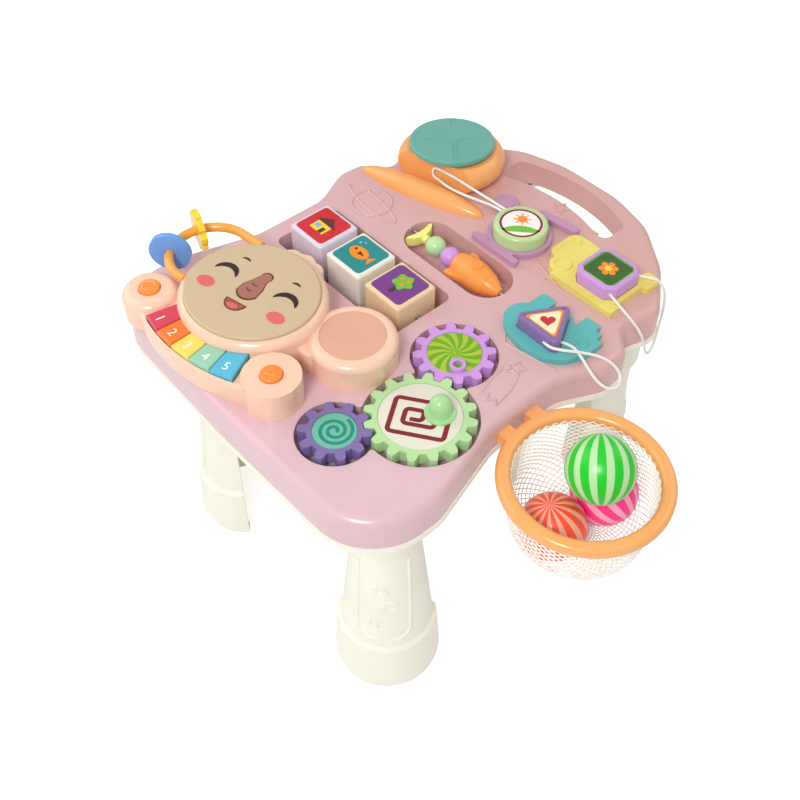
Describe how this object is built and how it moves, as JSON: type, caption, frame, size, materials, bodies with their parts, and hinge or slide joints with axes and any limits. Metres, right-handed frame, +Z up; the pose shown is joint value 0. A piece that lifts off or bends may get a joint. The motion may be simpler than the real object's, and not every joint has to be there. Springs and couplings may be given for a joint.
{
  "type": "walker activity table",
  "caption": "Toddler activity table on half-round legs with an animal piano, turning blocks, meshing gears, shape toys on cords, a sliding rocket, a dial and a ball hoop with net.",
  "frame": {"origin": "on the floor, below the middle of the outline's bounding box without the cords", "axes": "+X towards the ball hoop, +Y towards the carrying slot, +Z up"},
  "size_m": [0.4914, 0.461, 0.366],
  "materials": {
    "deck_pink": "satin moulded polypropylene",
    "frame_cream": "satin moulded polypropylene",
    "module_peach": "satin moulded ABS",
    "face_cream": "printed panel under a satin coat",
    "ear_blush": "soft pad",
    "key_red": "gloss",
    "key_orange": "gloss",
    "key_yellow": "gloss",
    "key_green": "gloss",
    "key_blue": "gloss",
    "button_orange": "gloss",
    "dome_orange": "gloss",
    "dial_teal": "satin with raised lines",
    "toy_green": "satin",
    "orchid": "satin",
    "violet": "satin",
    "gear_green": "satin",
    "gear_blue": "satin",
    "knob_mint": "satin",
    "plate_purple": "satin",
    "plate_yellow": "satin",
    "plate_teal": "satin",
    "ball_green": "thin blow-moulded shell",
    "ball_orange": "thin blow-moulded shell",
    "ball_pink": "thin blow-moulded shell",
    "loop_orange": "gloss",
    "ring_yellow": "gloss",
    "ring_blue": "gloss",
    "flame_yellow": "gloss",
    "bead_mint": "gloss",
    "rocket_orange": "gloss",
    "block_white": "satin with printed labels",
    "cord_white": "twisted soft cord",
    "net_white": "knotted mesh",
    "steel": "zinc plated",
    "board_green": "coated board",
    "rubber_grey": "moulded contact strip",
    "cell_grey": "wrapped cells",
    "speaker_black": "paper cone in a plastic basket"
  },
  "bodies": {
    "table": {"top_deck": "deck_pink", "base_tray": "frame_cream", "leg_front_right": "frame_cream", "leg_front_left": "frame_cream", "leg_back_right": "frame_cream", "leg_back_left": "frame_cream", "leg_screws": "steel", "tray_screws": "steel", "gear_axles": "frame_cream", "block_shaft": "steel", "rocket_rod": "steel", "rocket_flame": "flame_yellow", "helicopter_plate": "plate_purple", "digger_plate": "plate_yellow", "ship_plate": "plate_teal", "dome": "dome_orange", "dome_brim": "dome_orange", "dial_pivot": "frame_cream", "piano_case": "module_peach", "piano_base": "module_peach", "battery_door": "module_peach", "battery_cells": "cell_grey", "circuit_board": "board_green", "key_contact_strip": "rubber_grey", "speaker": "speaker_black", "face_plate": "face_cream", "ear_pad": "ear_blush", "rattle_loop": "loop_orange", "hoop_ring": "dome_orange", "hoop_net": "net_white"},
    "large_gear": {"gear_large": "gear_green", "gear_knob": "knob_mint"},
    "small_gear": {"gear_small": "gear_blue"},
    "medium_gear": {"gear_medium": "orchid"},
    "picture_block_1": {"picture_block_1": "block_white"},
    "picture_block_2": {"picture_block_2": "block_white"},
    "picture_block_3": {"picture_block_3": "block_white"},
    "rocket": {"rocket": "rocket_orange"},
    "bead_mint": {"bead_mint": "bead_mint"},
    "bead_orchid": {"bead_orchid": "orchid"},
    "dial": {"dial": "dial_teal"},
    "key_1": {"key_1": "key_red"},
    "key_2": {"key_2": "key_orange"},
    "key_3": {"key_3": "key_yellow"},
    "key_4": {"key_4": "key_green"},
    "key_5": {"key_5": "key_blue"},
    "button_left": {"button_left": "button_orange"},
    "button_right": {"button_right": "button_orange"},
    "ring_blue": {"ring_blue": "ring_blue"},
    "ring_yellow": {"ring_yellow": "ring_yellow"},
    "round_toy": {"round_toy": "toy_green", "round_cord": "cord_white"},
    "square_toy": {"square_toy": "orchid", "square_cord": "cord_white"},
    "triangle_toy": {"triangle_toy": "violet", "triangle_cord": "cord_white"},
    "ball_green": {"ball_green": "ball_green"},
    "ball_orange": {"ball_orange": "ball_orange"},
    "ball_pink": {"ball_pink": "ball_pink"}
  },
  "joints": [
    {"name": "large_gear_spin", "type": "hinge", "parent": "table", "child": "large_gear", "pos_m": [0.05425, -0.111, 0.307], "axis": [0, 0, 1], "continuous": true},
    {"name": "small_gear_spin", "type": "hinge", "parent": "table", "child": "small_gear", "pos_m": [0.02043, -0.17252, 0.307], "axis": [0, 0, 1], "continuous": true},
    {"name": "medium_gear_spin", "type": "hinge", "parent": "table", "child": "medium_gear", "pos_m": [0.02206, -0.0426, 0.307], "axis": [0, 0, 1], "continuous": true},
    {"name": "block_1_turn", "type": "hinge", "parent": "table", "child": "picture_block_1", "pos_m": [-0.16875, -0.031, 0.309], "axis": [1, 0, 0], "continuous": true},
    {"name": "block_2_turn", "type": "hinge", "parent": "table", "child": "picture_block_2", "pos_m": [-0.11475, -0.031, 0.309], "axis": [1, 0, 0], "continuous": true},
    {"name": "block_3_turn", "type": "hinge", "parent": "table", "child": "picture_block_3", "pos_m": [-0.06075, -0.031, 0.309], "axis": [1, 0, 0], "continuous": true},
    {"name": "rocket_slide", "type": "slide", "parent": "table", "child": "rocket", "axis": [1, 0, 0], "range_m": [0, 0.005]},
    {"name": "bead_mint_spin", "type": "hinge", "parent": "table", "child": "bead_mint", "pos_m": [-0.09555, 0.045, 0.31], "axis": [1, 0, 0], "continuous": true},
    {"name": "bead_orchid_spin", "type": "hinge", "parent": "table", "child": "bead_orchid", "pos_m": [-0.07515, 0.045, 0.31], "axis": [1, 0, 0], "continuous": true},
    {"name": "dial_turn", "type": "hinge", "parent": "table", "child": "dial", "pos_m": [-0.16875, 0.134, 0.315], "axis": [-0.0523, 0.0461, 0.9976], "continuous": true},
    {"name": "key_1_press", "type": "slide", "parent": "table", "child": "key_1", "axis": [0, 0, -1], "range_m": [0, 0.003], "stiffness_N_per_m": 250},
    {"name": "key_2_press", "type": "slide", "parent": "table", "child": "key_2", "axis": [0, 0, -1], "range_m": [0, 0.003], "stiffness_N_per_m": 250},
    {"name": "key_3_press", "type": "slide", "parent": "table", "child": "key_3", "axis": [0, 0, -1], "range_m": [0, 0.003], "stiffness_N_per_m": 250},
    {"name": "key_4_press", "type": "slide", "parent": "table", "child": "key_4", "axis": [0, 0, -1], "range_m": [0, 0.003], "stiffness_N_per_m": 250},
    {"name": "key_5_press", "type": "slide", "parent": "table", "child": "key_5", "axis": [0, 0, -1], "range_m": [0, 0.003], "stiffness_N_per_m": 250},
    {"name": "button_left_press", "type": "slide", "parent": "table", "child": "button_left", "axis": [0, 0, -1], "range_m": [0, 0.002], "stiffness_N_per_m": 300},
    {"name": "button_right_press", "type": "slide", "parent": "table", "child": "button_right", "axis": [0, 0, -1], "range_m": [0, 0.002], "stiffness_N_per_m": 300},
    {"name": "ring_blue_slip", "type": "hinge", "parent": "table", "child": "ring_blue", "pos_m": [-0.18912, -0.14136, 0.347], "axis": [0, 0, 1], "range_deg": [-18, 12]},
    {"name": "ring_yellow_slip", "type": "hinge", "parent": "table", "child": "ring_yellow", "pos_m": [-0.18912, -0.14136, 0.347], "axis": [0, 0, 1], "range_deg": [-25, 14]},
    {"name": "round_toy_lift", "type": "slide", "parent": "table", "child": "round_toy", "axis": [0, 0, 1], "range_m": [0, 0.006]},
    {"name": "square_toy_lift", "type": "slide", "parent": "table", "child": "square_toy", "axis": [0, 0, 1], "range_m": [0, 0.006]},
    {"name": "triangle_toy_lift", "type": "slide", "parent": "table", "child": "triangle_toy", "axis": [0, 0, 1], "range_m": [0, 0.006]},
    {"name": "ball_green_lift", "type": "slide", "parent": "table", "child": "ball_green", "axis": [0, 0, 1], "range_m": [0, 0.06]},
    {"name": "ball_orange_roll", "type": "hinge", "parent": "table", "child": "ball_orange", "pos_m": [0.17124, -0.07069, 0.251], "axis": [0, 0, 1], "continuous": true},
    {"name": "ball_pink_roll", "type": "hinge", "parent": "table", "child": "ball_pink", "pos_m": [0.17626, -0.01331, 0.251], "axis": [0, 0, 1], "continuous": true}
  ],
  "couplings": [
    {"joint": "small_gear_spin", "follows": "large_gear_spin", "ratio": -1.6},
    {"joint": "medium_gear_spin", "follows": "large_gear_spin", "ratio": -1.3333}
  ]
}
